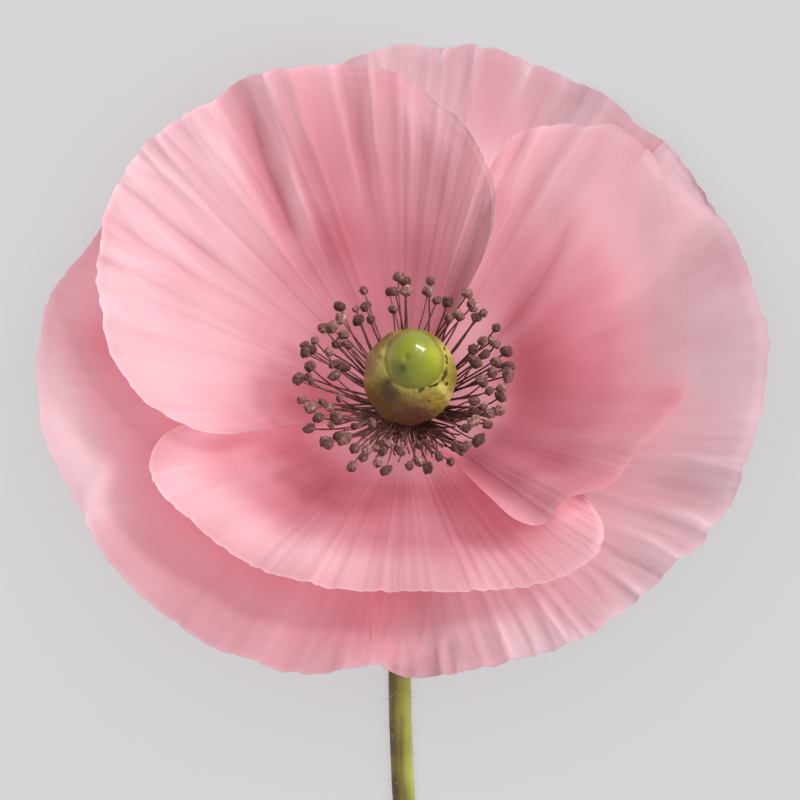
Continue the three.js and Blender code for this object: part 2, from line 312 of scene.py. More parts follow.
petalSheet = {
    "columns": 380,
    "rows": 84,
    "solidThickness": 0.6,   # of the solids, whose underside the thin petal keeps
    "thickness": 0.2,
    "edgeThickness": 0.2,    # of the thickness, along the rim
    "clawRadius": 3.0,
    "restSoftness": 1.3,
    "scallop": 0.12,
    "creaseHeight": 0.52,    # of the heights given in the creases below
    "creaseFace": 35,        # each crease is steeper on its side towards this azimuth
    "creasePaintedLight": 0.32,     # painted highlight and shade: how much paler the crest of a narrow one is painted, and a valley deeper
    "rimPaleAndHighlight": 0.12,        # and how much paler the rim is: its own thin paler edge, and a painted highlight along it
    "notch": 0.45,           # how far a crease pulls the rim in, of its height
    "nicks": [(0.26, 70), (0.12, 150)],     # of the rim: depth, and how many across
    "streaks": [(0.16, 9, 2.2), (0.07, 22, 4.5)],   # of the pink's depth: strength, and how many across and out
    "strays": [(1.5, 2.6), (0.8, 7)],       # of a crease from its ray: degrees, and how many out
    "inner": [(0, "#f9e4e9"), (0.25, "#efcbd3"), (0.5, "#e6afbb"), (0.78, "#d98a99"), (1, "#c96e7e")],
    "outer": [(0, "#ecd8dd"), (0.25, "#e4c4cc"), (0.5, "#dfb2bb"), (0.78, "#db9aa7"), (1, "#dc7c8c")],
    "glow": 0.45,            # share of light that passes through
    "glowTint": "#ffe2e6",   # and how it is coloured on its way
    "surface": {"Roughness": 0.55, "Sheen Weight": 0.12, "Specular IOR Level": 0.3},
    "lieProud": 0.23,        # how far a petal stays over the one that it lies on
}

# the crest of each crease is painted paler, a painted highlight, and each valley deeper, painted shade
# azimuths are in degrees and sizes in millimetres, in the bloom's plane
# claw: the narrow foot, from one azimuth to another, and its height
# rim: azimuth, radius and height of the outer edge
# folds: azimuth, width and height of the broad ones
# creases: azimuth, width, height and where they start between foot and rim, and, where it isn't past the rim, where
# they end, how far the foot end swings round, and how strongly the crest is paler
# ruffles: fine folds that grow towards the rim: how many across and out, height, growth, from where to where across,
# and whether they are sharp
# blush: how deep the petal's pink is from foot to rim, its own colour with painted shade in it; blushAndShadeSpots:
# spots where it is deeper or paler, its own patches with painted shadows and painted light
# curl: azimuth, width and depth of a stretch where the edge turns down
# settle: the petals below that a stretch of this one lies down on, and that stretch between its two ends
petals = [
    {
        "name": "petal_outer_left",
        "slot": "outer_petal",
        "claw": (140, 262, -2.7),
        "rim": [
            (124, 32, 0.3), (129, 41, 0.8), (140, 44.2, 3), (150, 44.8, 5.2), (160, 45.4, 6.5), (168, 45.8, 7.5),
            (177, 45.6, 8), (185, 44.8, 8), (196, 43.6, 8.5), (209, 42.7, 8.5), (221, 41.5, 8.5), (232, 40.8, 8.5),
            (242, 39.9, 8.5), (254, 38, 8), (264, 35.1, 6.3), (275, 33.2, 5), (283, 30, 4.2),
        ],
        "cup": 1.3,
        "wave": 0.5, "waveCount": 7, "wavePhase": 0.4,
        "seed": 3.1,
        "creases": [
            (160, 1.6, 0.30, 0.6), (167, 2.0, -0.25, 0.5), (173, 1.2, 0.25, 0.7), (180, 1.0, 0.3, 0.75),
            (187, 2.5, -0.25, 0.5), (196, 1.6, 0.25, 0.6), (204, 0.9, 0.3, 0.75), (211, 3.0, -0.30, 0.5),
            (222, 1.2, 0.25, 0.7), (228, 0.8, 0.25, 0.8), (236, 2.5, -0.25, 0.5), (243, 1.6, 0.25, 0.6),
            (250, 1.0, 0.2, 0.8), (202.6, 5.0, 1.3, 0.45, 2, -56), (163, 6.0, -0.9, 0.5, 2, 95),
        ],
        "ruffles": [(12, 0.8, 0.25, 1.4, 0.0, 1.0, False), (34, 3.0, 0.16, 5.0, 0.0, 1.0, True)],
        "blush": [(0, 0.5), (0.3, 0.5), (0.6, 0.67), (0.8, 0.54), (1, 0.39)],
        "blushAndShadeSpots": [
            (-45, -5, 6, -0.64), (-39, -14, 4, -0.2), (-45, 7, 4, -0.26), (-36, 7, 4, 0.32), (-15, -26, 4, -0.11),
            (-3, -29, 4, 0.17), (-27, -26, 4, 0.13), (-18, -35, 4, 0.14),
        ],
    },
    {
        "name": "petal_outer_right",
        "slot": "outer_petal",
        "claw": (268, 392, -1.7),
        "rim": [
            (262, 30, 7), (265, 35, 8), (269, 36.6, 8.5), (276, 37.4, 9), (288, 37.5, 9), (298, 38.3, 9),
            (308, 38.9, 9), (322, 39.6, 9), (335, 41.6, 9), (345, 42.5, 9), (357, 43.7, 8.5), (367, 45, 8),
            (377, 45.7, 7), (387, 46.4, 5.6), (394, 46.4, 4.7), (400, 44.5, 4.2), (404, 39, 3.6),
        ],
        "cup": 1.3,
        "wave": 0.45, "waveCount": 7, "wavePhase": 2.1,
        "seed": 11.7,
        "creases": [
            (276.5, 0.9, 0.35, 0.8, 2, 0, 1.6), (281, 0.9, 0.35, 0.78, 2, 0, 1.6), (284, 0.8, 0.4, 0.82, 2, 0, 1.6),
            (290, 1.0, 0.75, 0.74, 2, 4, 1.6), (294.8, 0.9, 0.65, 0.76, 2, 4, 1.6), (300, 0.9, 0.7, 0.74, 2, 4, 1.6),
            (303, 0.7, 0.5, 0.76, 2, 4, 1.4), (305.5, 1.8, -0.3, 0.6), (309, 1.2, 0.4, 0.74),
            (312.5, 0.8, 0.35, 0.82), (316, 1.0, 0.7, 0.78, 2, 9, 1), (319.5, 1.2, -0.3, 0.65),
            (325, 1.3, 0.7, 0.72, 2, 9, 1), (328.5, 1.6, -0.3, 0.6), (333, 1.2, 0.7, 0.7, 2, 9, 1),
            (338.5, 2.6, -0.3, 0.5), (344.5, 1.4, 0.5, 0.68, 2, 8, 1), (349.5, 1.8, -0.3, 0.6), (354, 1.2, 0.3, 0.8),
            (360, 2.4, -0.2, 0.6), (365, 1.2, 0.3, 0.75), (372, 2.2, -0.25, 0.6), (378, 1.6, 0.25, 0.6),
            (384, 0.8, 0.3, 0.8),
        ],
        "ruffles": [
            (13, 0.8, 0.2, 1.4, 0.0, 1.0, False), (40, 3.2, 0.24, 5.0, 0.0, 0.5, True),
            (44, 3.0, 0.12, 5.0, 0.4, 1.0, True),
        ],
        "blush": [(0, 0.16), (0.3, 0.15), (0.6, 0.25), (0.8, 0.12), (1, -0.01)],
        "blushAndShadeSpots": [
            (-3, -26, 4, 0.5), (6, -38, 4, -0.33), (42, 19, 4, 0.34), (24, -29, 4, 0.22), (39, -5, 4, 0.2),
            (36, -20, 4, 0.21), (6, -26, 4, 0.16), (42, -14, 4, -0.16),
        ],
        "settle": (("petal_outer_left",), (-2, -1, 0.06, 0.2)),
    },
    {
        "name": "petal_outer_upper",
        "slot": "outer_petal",
        "claw": (20, 138, -0.6),
        "rim": [
            (25, 40.6, 5.9), (28, 45, 6.1), (33, 46.5, 6.3), (44, 47.4, 6.4), (53, 47.7, 6.2), (61, 49.3, 5.4),
            (69, 50.2, 5), (76, 49.8, 5.2), (84, 48.8, 5.4), (92, 48.8, 5.4), (100, 47.4, 5), (108, 46.2, 4.2),
            (116, 44.4, 3.4), (124, 41.5, 3.2), (128, 36, 2.8),
        ],
        "cup": 1.5,
        "folds": [(67, 8, -2.4), (109, 9, -2.5)],
        "wave": 0.3, "waveCount": 6, "wavePhase": 1.2,
        "seed": 23.4,
        "creases": [
            (31, 1.6, 0.12, 0.6), (38, 2.8, -0.12, 0.5), (45, 0.8, 0.3, 0.75), (49, 0.6, 0.3, 0.82),
            (54, 1.8, -0.25, 0.6), (58, 0.8, 0.3, 0.75), (62.5, 1.2, -0.22, 0.7), (66, 0.4, 0.6, 0.84, 2, 0, 2),
            (68.6, 0.9, -0.32, 0.65), (70.8, 0.45, 1.0, 0.8, 2, 0, 2.5), (75, 1.6, -0.2, 0.6),
            (78.6, 0.45, 1.1, 0.78, 2, 0, 2.5), (80.8, 0.9, -0.3, 0.7), (84, 0.4, 0.9, 0.82, 2, 0, 2.5),
            (87, 0.6, 0.35, 0.8), (91, 1.4, -0.25, 0.6), (96, 0.9, 0.35, 0.75),
        ],
        "ruffles": [(11, 0.8, 0.22, 1.3, 0.0, 1.0, False), (36, 3.0, 0.14, 5.0, 0.0, 1.0, True)],
        "blush": [(0, 0.29), (0.3, 0.29), (0.6, -0.11), (0.8, 0.11), (1, 0.22)],
        "blushAndShadeSpots": [
            (36, 31, 4, 0.2), (12, 46, 4, 0.07), (21, 37, 4, -0.14), (-6, 46, 4, -0.18), (12, 40, 4, 0.32),
            (18, 43, 4, -0.1), (33, 28, 4, 0.28), (27, 43, 4, 0.12),
        ],
        "settle": (("petal_outer_right",), (-2, -1, 0.06, 0.22)),
    },
    {
        "name": "petal_inner_lower",
        "slot": "inner_petal",
        "claw": (196, 322, 0.4),
        "rim": [
            (192, 23, 9.4), (194.9, 30.3, 11.7), (200.8, 32.9, 12.2), (207.7, 33.3, 12.6), (218.5, 31.7, 12.8),
            (232.2, 30.4, 12.8), (248, 29.2, 12.5), (261, 27.9, 12), (278, 28, 12), (295, 30.1, 12.5),
            (306, 31.9, 13), (314, 32.4, 12.5), (320, 31.1, 11), (325, 27.5, 9), (327, 23, 8),
        ],
        "cup": 1.2,
        "folds": [(231, 9, -1.1), (310, 8, -1.2)],
        "wave": 0.35, "waveCount": 5, "wavePhase": 0.9,
        "seed": 31.9,
        "creases": [
            (203, 1.2, 0.3, 0.6), (209, 2.2, -0.2, 0.5), (216, 1.0, 0.25, 0.7), (228, 9.0, -0.7, 0.35, 0.95),
            (241, 3.0, 0.25, 0.5), (247, 0.9, 0.2, 0.8), (251, 3.0, -0.22, 0.5), (262, 3.0, 0.2, 0.5),
            (285, 4.0, 0.2, 0.4), (290, 0.9, 0.2, 0.8), (303, 7.0, -0.8, 0.35, 0.95), (319, 3.0, 0.7, 0.5),
            (322, 1.0, -0.2, 0.7),
        ],
        "ruffles": [(9, 0.8, 0.22, 1.4, 0.0, 1.0, False), (26, 2.6, 0.10, 5.0, 0.0, 1.0, True)],
        "blush": [(0, 0.46), (0.2, 0.44), (0.4, 0.75), (0.65, 0.59), (0.85, 0.28), (1, 0.33)],
        "blushAndShadeSpots": [
            (3, -23, 4, 0.2), (-12, -14, 4, 0.33), (-15, -2, 4, -0.18), (-12, -20, 4, -0.24), (-30, -17, 4, -0.3),
            (-30, -8, 4, 0.18), (21, -14, 4, -0.16), (-21, -8, 4, -0.14),
        ],
    },
    {
        "name": "petal_inner_right",
        "slot": "inner_petal",
        "claw": (-50, 76, 1.4),
        "rim": [
            (-57, 19.7, 12.5), (-55, 23.3, 13.5), (-51, 25.2, 13.5), (-43, 25.1, 13), (-31, 28.1, 12.5),
            (-18, 29.8, 11.5), (-9, 32.2, 10), (0, 34.2, 8.8), (10, 35.3, 8.3), (20, 37.0, 8.4), (29, 39.3, 8.8),
            (37, 42.0, 9.4), (45.5, 43.9, 10), (50, 43.4, 10.5), (53, 42.9, 10.7), (56, 41.4, 10.8), (59, 40.9, 11),
            (61.6, 40.0, 11), (64.5, 38.3, 11), (67.3, 36.3, 10.6), (68.5, 34.5, 10.2), (70, 31.5, 9.5),
        ],
        "cup": 1.2,
        "folds": [(49, 7, 1.1), (62, 6, -0.6)],
        "wave": 0.35, "waveCount": 6, "wavePhase": 2.6,
        "seed": 43.2,
        "creases": [
            (-38, 4.0, 0.3, 0.5), (-22, 4.0, -0.25, 0.5), (-12, 3.5, 0.3, 0.5), (-2, 3.0, -0.25, 0.4),
            (8, 3.5, 0.2, 0.4), (18, 3.0, -0.25, 0.4), (27, 3.5, 0.25, 0.4), (58.6, 2.0, -0.42, 0.1, 0.7, -30, 1.5),
            (62.6, 3.6, -0.3, 0.1, 0.6, -30, 2), (52.8, 4.5, 0.4, 0.1, 0.74, -30, 2), (57, 1.6, 0.25, 0.6),
            (59.5, 1.6, -0.25, 0.5), (63, 0.9, 0.3, 0.6), (66.5, 0.9, -0.25, 0.6),
        ],
        "ruffles": [(10, 0.8, 0.26, 1.3, 0.0, 1.0, False), (26, 2.6, 0.10, 4.0, 0.0, 1.0, True)],
        "blush": [(0, 0.52), (0.2, 0.34), (0.4, 0.82), (0.65, 0.68), (0.85, 0.5), (1, 0.43)],
        "blushAndShadeSpots": [
            (18, 25, 6, -0.45), (9, 16, 4, -0.37), (36, 1, 6, 0.29), (30, 25, 4, -0.18), (21, 37, 4, -0.18),
            (18, 4, 4, 0.18), (18, -11, 4, 0.12), (36, 19, 4, 0.1),
        ],
        "curl": (54, 12, 0.5),
        "settle": (("petal_outer_right", "petal_outer_upper"), (0.34, 0.46, 0.56, 0.8)),
    },
    {
        "name": "petal_inner_upper",
        "slot": "inner_petal",
        "claw": (66, 190, 2.4),
        "rim": [
            (60, 18.2, 10.5), (62, 22.7, 12), (67, 27.5, 13), (74, 31.8, 14), (83, 36, 15), (92, 39.7, 15.5),
            (101, 41.5, 16), (110, 42, 16.5), (120, 42.7, 16.5), (131, 43, 16.5), (142, 43.2, 16.5), (151, 42.1, 16),
            (160, 40.1, 15.5), (170, 37.4, 15), (180, 34.9, 14.5), (189, 31.0, 14), (195, 27.4, 13.3),
            (198.6, 23.6, 12.4), (200, 19.6, 11),
        ],
        "cup": 1.25,
        "folds": [(150, 6, -0.5), (112, 7, 0.5)],
        "wave": 0.35, "waveCount": 8, "wavePhase": 0.2,
        "seed": 57.8,
        "creases": [
            (74, 2.2, -0.17, 0.4), (79, 1.4, 0.17, 0.5), (83, 0.6, 0.21, 0.7), (85.5, 1.3, -0.2, 0.45),
            (89, 1.0, 0.24, 0.5), (93, 1.2, -0.22, 0.45), (96.5, 0.8, 0.32, 0.5), (100, 1.2, -0.24, 0.4),
            (103.7, 0.8, 0.35, 0.5), (107.5, 1.4, -0.27, 0.35), (110.5, 0.6, 0.35, 0.55), (113.5, 1.1, -0.24, 0.45),
            (114.4, 1.8, 0.7, 0.35, 2, 10, 1.4), (119.6, 2.8, -1.1, 0.3, 2, 11, 2.4),
            (125.2, 2.6, 0.8, 0.35, 2, 10, 1.4), (131, 0.5, 0.28, 0.78), (133, 1.2, -0.21, 0.65),
            (135.5, 0.5, 0.35, 0.75), (137.2, 0.5, -0.35, 0.78), (139.0, 0.5, 0.35, 0.75), (141.0, 0.6, -0.32, 0.7),
            (143.5, 0.8, 0.28, 0.6), (146, 0.8, -0.35, 0.5), (149.5, 1.4, 0.35, 0.35), (152.5, 1.0, -0.32, 0.45),
            (156, 1.2, 0.28, 0.4), (159.3, 0.7, -0.32, 0.7), (161.5, 0.6, 0.28, 0.75), (163.2, 0.6, -0.28, 0.78),
            (166, 0.9, 0.21, 0.6), (171, 1.8, -0.14, 0.5),
        ],
        "ruffles": [
            (12, 0.8, 0.16, 1.3, 0.0, 1.0, False), (17, 4.0, 0.22, 1.2, 0.0, 1.0, False),
            (40, 4.5, 0.24, 4.0, 0.42, 0.92, True), (34, 3.0, 0.10, 3.0, 0.0, 0.55, True),
        ],
        "blush": [(0, 0.34), (0.2, 0.61), (0.4, 0.46), (0.65, 0.25), (0.85, 0.16), (1, 0.2)],
        "blushAndShadeSpots": [
            (-9, 31, 6, 0.42), (3, 19, 6, 0.25), (-18, -8, 4, 0.34), (-24, 1, 4, -0.2), (-9, 19, 4, 0.22),
            (-36, 25, 4, -0.18), (-12, -2, 4, 0.25), (0, 40, 4, 0.14),
        ],
        "curl": (86, 16, 0.9),
    },
]


def petalMaterial(petal):
    look = petalSheet
    paint = newMaterial(petal["name"] + "_tissue")
    add, calc, swing = paint.add, paint.calc, paint.swing
    place = add("TexCoord").outputs["Object"]
    uv = add("UVMap", uv_map="petalMap").outputs["UV"]      # across the petal, and out from its claw
    drift = add("TexNoise", {"Vector": place, "Scale": 110.0, "Detail": 2.0}).outputs["Color"]
    drift = add("VectorMath", {0: drift, 1: (0.035, 0.0, 0.0)}, operation="MULTIPLY").outputs[0]
    uv = add("VectorMath", {0: uv, 1: drift}, operation="ADD").outputs[0]
    reach = add("SeparateXYZ", {"Vector": uv}).outputs["Y"]

    def stretched(across, out, roughness):
        start = (petal["seed"], 0.3, 0)
        lie = add("Mapping", {"Vector": uv, "Location": start, "Scale": (across, out, 1)}).outputs[0]
        return paint.speckle(lie, 1.0, 3.0, roughness)

    veins = stretched(70, 3.0, 0.6)
    cloud = swing(paint.speckle(place, 70.0, 3.0), 0.2)
    depth = paint.total(paint.mark("blush"), calc("MULTIPLY", swing(veins, 0.1), reach), cloud)
    colour = paint.ramp(depth, look["outer"])
    if petal["slot"] == "inner_petal":
        # an inner petal takes the outer ones' colour where it lies down on them
        colour = paint.mixed(paint.mark("melt"), paint.ramp(depth, look["inner"]), colour)
    grain = calc("MULTIPLY", paint.speckle(place, 2600.0, 2.0), 0.08)
    ribs = calc("MULTIPLY", calc("MULTIPLY", veins, reach), 0.3)
    crinkle = calc("ABSOLUTE", calc("SUBTRACT", stretched(60, 7.0, 0.55), 0.5), 0)
    crinkle = calc("MULTIPLY", calc("MULTIPLY", crinkle, calc("POWER", reach, 2.5)), 1.5)
    relief = calc("SUBTRACT", calc("ADD", ribs, grain), crinkle)
    bump = paint.dress(colour, relief, 0.28, 0.00025, look["surface"])
    passed = paint.mixed(1.0, colour, tint(look["glowTint"]), blend_type="MULTIPLY")
    through = add("BsdfTranslucent", {"Color": passed, "Normal": bump}).outputs[0]
    blend = add("MixShader", {0: look["glow"], 1: paint.shader.outputs[0], 2: through}).outputs[0]
    paint.tree.links.new(blend, paint.tree.nodes["Material Output"].inputs["Surface"])
    return paint.material


def ruffleAt(petal, across, out):
    total = 0.0
    for i, (count, stretch, height, power, start, end, sharp) in enumerate(petal["ruffles"]):
        inside = min(across - start, end - across)
        if inside <= 0:
            continue
        edge = min(inside / 0.06, 1.0)
        drift = 0.02 * rough(across * 4, out * 2.2, petal["seed"] + 5 * i)
        crest = rough((across + drift) * count, out * stretch, petal["seed"] + i)
        if sharp:
            crest = 0.5 - 2 * abs(crest)
        total += height * crest * out ** power * edge
    return total


def bodyShare(across, out):
    # 0 on the edge of the sheet, 1 a little inside
    return smoothStep(0, 0.04, min(across, 1 - across, 1 - out))


def sheetThickness(across, out):
    thin = petalSheet["edgeThickness"]
    return petalSheet["thickness"] * (thin + (1 - thin) * bodyShare(across, out))


def settle(petal, lowered, placed):
    # a stretch of the petal lies down on those below, and its rim melts into them, in height and in colour
    below, (a, b, c, d) = petal["settle"]
    corners, faces, blushAndShadeBelow = [], [], []
    for name in below:
        under = bpy.data.objects["tissue_" + name].data
        first = len(corners)
        corners += [vertex.co / mm for vertex in under.vertices]
        faces += [[first + corner for corner in face.vertices] for face in under.polygons]
        blushAndShadeBelow += [mark.value for mark in under.attributes["blush"].data]
    tree = BVHTree.FromPolygons(corners, faces)
    stretch = {}
    for index, (across, out, blush, melt) in placed.items():
        if a < across < d:
            stretch.setdefault(round(across, 5), []).append((round(out, 5), index))
    known, rows = {}, {}   # past the lower petal's end the last gap goes on
    for across in sorted(stretch):
        gap, blushAndShadeUnder = 0.0, None
        for out, index in sorted(stretch[across]):
            hit, normal, face, distance = tree.ray_cast(lowered[index] + bloomAxis * 3, -bloomAxis)
            if hit is not None:
                known[out] = ((lowered[index] - hit).dot(bloomAxis), blushAndShadeBelow[faces[face][0]])
            gap, blushAndShadeUnder = known.get(out, (gap, blushAndShadeUnder))
            rows.setdefault(out, []).append((across, index, gap, blushAndShadeUnder))
    for out, row in rows.items():
        for i, (across, index, gap, blushAndShadeUnder) in enumerate(row):
            near = row[max(0, i - 9):i + 10]
            gap = sum(entry[2] for entry in near) / len(near)
            hold = smoothStep(a, b, across) * (1 - smoothStep(c, d, across))
            proud = petalSheet["lieProud"] * smoothStep(0, 1, min(5 * (1 - out), 16 * across, 16 * (1 - across)))
            fall = gap - proud + sheetThickness(across, out)
            lowered[index] -= bloomAxis * fall * hold * smoothStep(0.35, 0.9, out)
            # the lower petal's pink, painted shade included, is carried into this rim
            if blushAndShadeUnder is not None:
                reach = smoothStep(a, b, across) * (1 - smoothStep(c, d, across - 0.1))
                melt = reach * max(smoothStep(0.66, 1, out), smoothStep(0.12, 0, across))
                blush = placed[index][2]
                placed[index] = (across, out, blush + (blushAndShadeUnder - blush) * melt, melt)


def petalColumns(petal):
    # for each column of the sheet: its place across, foot, rim, fold, sway and curl, and the creases near it
    rimLine = smoothLine([polar(*point) for point in petal["rim"]])
    clawFrom, clawTo, clawHeight = petal["claw"]
    waves, phase = 2 * math.pi * petal["waveCount"], petal["wavePhase"]
    curlAzimuth, curlWidth, curlDepth = petal.get("curl", (0, 1, 0))
    columns = []
    for column in range(petalSheet["columns"] + 1):
        across = column / petalSheet["columns"]
        foot = polar(clawFrom + (clawTo - clawFrom) * across, petalSheet["clawRadius"], clawHeight)
        rim = rimLine(across)
        azimuth = math.degrees(math.atan2(rim.y, rim.x))

        def turnFrom(other):
            return (azimuth - other + 180) % 360 - 180

        nick, near = 0.0, []
        for layer, (depth, count) in zip((2.0, 9.0), petalSheet["nicks"]):
            nick += depth * rough(across * count, petal["seed"], layer)
        for lineAzimuth, width, height, start, *more in petal["creases"]:
            end, swing, pale = more + [2, 0, 1][len(more):]
            turn = turnFrom(lineAzimuth)
            if end > 1:
                nick -= petalSheet["notch"] * height * math.exp(-(turn / width) ** 2)
            if abs(turn) < 8 * width + abs(swing):
                near.append((lineAzimuth, width, turn / width, height, start, end, swing / width, pale))
        ripple = math.sin(1.6 * waves * across + phase) + 0.6 * math.sin(0.7 * waves * across)
        scallop = (petalSheet["scallop"] * ripple + nick) * min(1, 12 * across, 12 - 12 * across)
        reach = 1 + scallop / math.hypot(rim.x, rim.y)
        rim = Vector((rim.x * reach, rim.y * reach, rim.z))
        fold = sum(height * math.exp(-(turnFrom(at) / width) ** 2) for at, width, height in petal.get("folds", []))
        sway = petal["wave"] * math.sin(waves * across + phase)
        curl = curlDepth * math.exp(-((azimuth - curlAzimuth) / curlWidth) ** 2)
        columns.append((across, foot, rim, fold, sway, curl, near))
    return columns


def creasesAt(near, out):
    # how high the creases raise one point, and how much paler they paint it: a painted highlight on a crest, painted
    # shade in a valley
    raised = paintedCreaseLight = 0.0
    for azimuth, width, turn, height, start, end, swing, pale in near:
        # each line strays from its ray, and fades and comes back
        for layer, (stray, count) in zip((1.0, 4.0), petalSheet["strays"]):
            turn += stray * rough(out * count, azimuth, layer) / width
        turn -= swing * (1 - out)
        lit = math.sin(math.radians(petalSheet["creaseFace"] - azimuth))
        turn *= 1 + (0.6 if turn > 0 else -0.6) * lit
        height *= 0.85 + 1.2 * rough(out * 5, azimuth, 7.0)
        height *= smoothStep(start, start + 0.3, out) * (1 - smoothStep(end, end + 0.2, out))
        crest = height * math.exp(-turn * turn / (abs(turn) + 0.3))
        raised += crest * petalSheet["creaseHeight"]
        # painted highlight on each crest, painted shade in each valley
        paintedCreaseLight += crest * pale * petalSheet["creasePaintedLight"] * min(1, 1.2 / width)
    return raised, paintedCreaseLight


def buildPetal(petal):
    columns, rows = petalSheet["columns"], petalSheet["rows"]
    deselectAll()
    bpy.ops.mesh.primitive_grid_add(x_subdivisions=columns, y_subdivisions=rows, size=2)
    sheet = bpy.context.object
    sheet.name = "tissue_" + petal["name"]
    mesh = sheet.data
    clawHeight = petal["claw"][2]
    facts = petalColumns(petal)

    placed = {}
    for vertex in mesh.vertices:
        share = (vertex.co.y + 1) / 2
        out = 0.4 * share + 0.6 * math.sin(share * math.pi / 2)   # rows lie closer towards the waved rim
        across, foot, rim, fold, sway, curl, near = facts[round((1 - vertex.co.x) / 2 * columns)]
        point = foot.lerp(rim, out)
        raised, paintedCreaseLight = creasesAt(near, out)
        height = clawHeight + (rim.z - clawHeight) * out ** petal["cup"] + fold * out ** 1.5 + sway * out ** 4
        height += ruffleAt(petal, across, out) + raised - curl * smoothStep(0.8, 1, out) ** 2
        streak = 0.0
        for layer, (strength, countAcross, countOut) in zip((40, 50), petalSheet["streaks"]):
            streak += strength * rough(across * countAcross, out * countOut, petal["seed"] + layer)
        # the pink's depth: the petal's own colour, with painted shade and painted light in the table and the spots
        blush = alongTable(petal["blush"], out) + streak * smoothStep(0.1, 0.6, out) - paintedCreaseLight
        # the rim: its own paler edge with a painted highlight
        blush += spotsAt(petal["blushAndShadeSpots"], point.x, point.y) - petalSheet["rimPaleAndHighlight"] * smoothStep(0.98, 1, out)
        placed[vertex.index] = (across, out, blush, 0.0)
        vertex.co = fromBloom(point.x, point.y, height)
    mesh.update()

    # down to the underside of the solid petal, and bent up softly where that would sink into the table
    drop = petalSheet["solidThickness"] / 2
    lowered = [vertex.co - vertex.normal * drop for vertex in mesh.vertices]
    if "settle" in petal:
        settle(petal, lowered, placed)
    if min(co.z for co in lowered) < 0:
        lifts = [(math.hypot(co.z, petalSheet["restSoftness"]) + co.z) / 2 for co in lowered]
        contact = min(lifts)
        lowered = [Vector((co.x, co.y, lift - contact)) for co, lift in zip(lowered, lifts)]
    for vertex, co in zip(mesh.vertices, lowered):
        vertex.co = co * mm

    mapLayer = mesh.uv_layers[0]
    mapLayer.name = "petalMap"
    leaveMarks(sheet, "blush", [place[2] for place in placed.values()])
    leaveMarks(sheet, "melt", [place[3] for place in placed.values()])
    body = sheet.vertex_groups.new(name="body")
    for index, (across, out, blush, melt) in placed.items():
        body.add([index], bodyShare(across, out), "REPLACE")
    for loop in mesh.loops:
        mapLayer.data[loop.index].uv = placed[loop.vertex_index][:2]

    thicken = sheet.modifiers.new("thickness", "SOLIDIFY")
    thicken.thickness = petalSheet["thickness"] * mm
    thicken.offset = 1
    thicken.vertex_group = "body"
    thicken.thickness_vertex_group = petalSheet["edgeThickness"]
    bpy.ops.object.modifier_apply(modifier=thicken.name)
    bpy.ops.object.shade_smooth_by_angle(angle=math.radians(60))
    sheet.data.materials.append(petalMaterial(petal))
    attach(sheet, "root")
    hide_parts(petal["name"])


for petal in petals:
    buildPetal(petal)
print("petals ready")


# stamens: thin dark filaments from a ring round the ovary's foot, each with a knob of pollen

stamenLook = {
    "seed": 5,
    "footRadius": 3.6,
    "footHeight": 3.8,
    "filamentRadius": 0.14,
    "tipRadius": 0.10,
    "knobRadius": 0.68,
    "knobHeight": 12.0,
    "heightSpread": 2.4,
    "extra": 36,   # shorter ones between the others, most of them on the near side
    "nearSide": (198, 342),
    "farSide": (-20, 200),
    "extraReach": (8.4, 11.8),
    "extraGrowth": (0.72, 0.92),
    "bare": 70,   # and some that have lost their knobs
    "bareSide": (200, 340),
    "bareReach": (6.6, 11),
    "bareGrowth": 0.4,
    "bowReach": (0.48, 0.66),
    "bowHeight": (0.3, 0.5),
    "ring": (3.45, 0.62),
    "ringHeight": 3.65,
    "filament": [(0, "#2e1a17"), (0.45, "#6b4541"), (1, "#bb8b84")],
    "knob": [(0, "#331a18"), (0.5, "#68423e"), (0.8, "#9a6e66"), (1, "#d0a8a2")],
    "powderTint": "#e0b2a4",
}

# azimuth and reach of the knobs
knobPlaces = [
    (1, 10.5), (5, 12.5), (8, 8.5), (9, 11.2), (16, 12.8), (18, 10.1), (21, 11.8), (24, 9.0), (26, 10.4), (29, 12.6),
    (40, 12.4), (49, 12.5), (53, 10.4), (55, 9.1), (55, 13.1), (63, 11.3), (69, 10.7), (77, 11.8), (77, 13.3),
    (90, 10.7), (90, 12.6), (94, 13.0), (97, 11.2), (100, 11.7), (114, 12.8), (120, 8.5), (130, 9.1), (132, 12.2),
    (136, 11.2), (147, 9.1), (147, 10.8), (149, 11.7), (150, 8.2), (150, 9.3), (157, 12.2), (161, 9.9), (163, 12.9),
    (164, 11.9), (168, 12.6), (172, 7.7), (177, 11.7), (183, 8.7), (183, 13.1), (184, 12.0), (193, 13.1), (200, 12.3),
    (210, 12.3), (211, 13.7), (214, 10.2), (220, 12.9), (224, 13.1), (229, 11.4), (235, 7.3), (237, 11.5), (241, 13.4),
    (245, 11.1), (253, 11.8), (254, 10.4), (259, 12.7), (272, 12.2), (278, 11.4), (282, 12.4), (290, 11.6),
    (303, 11.1), (305, 12.0), (310, 11.6), (316, 12.2), (322, 10.4), (325, 12.0), (332, 11.4), (336, 12.4),
    (346, 10.4), (348, 11.8), (354, 9.2), (359, 12.4),
]


def mottled(name, stops, scale, grainScale, roughness, bumpDistance, shadeName=None):
    # a dull plant skin, darker and lighter in small patches, and by an attribute of the mesh
    paint = newMaterial(name)
    place = paint.add("TexCoord").outputs["Object"]
    patches = paint.speckle(place, scale, 3.0, 0.6)
    grain = paint.speckle(place, grainScale, 2.0)
    shade = paint.mark(shadeName) if shadeName else 0.5
    shade = paint.total(paint.swing(patches, 0.9), paint.swing(grain, 0.7), shade)
    paint.dress(paint.ramp(shade, stops), grain, 0.8, bumpDistance, {"Roughness": roughness})
    return paint


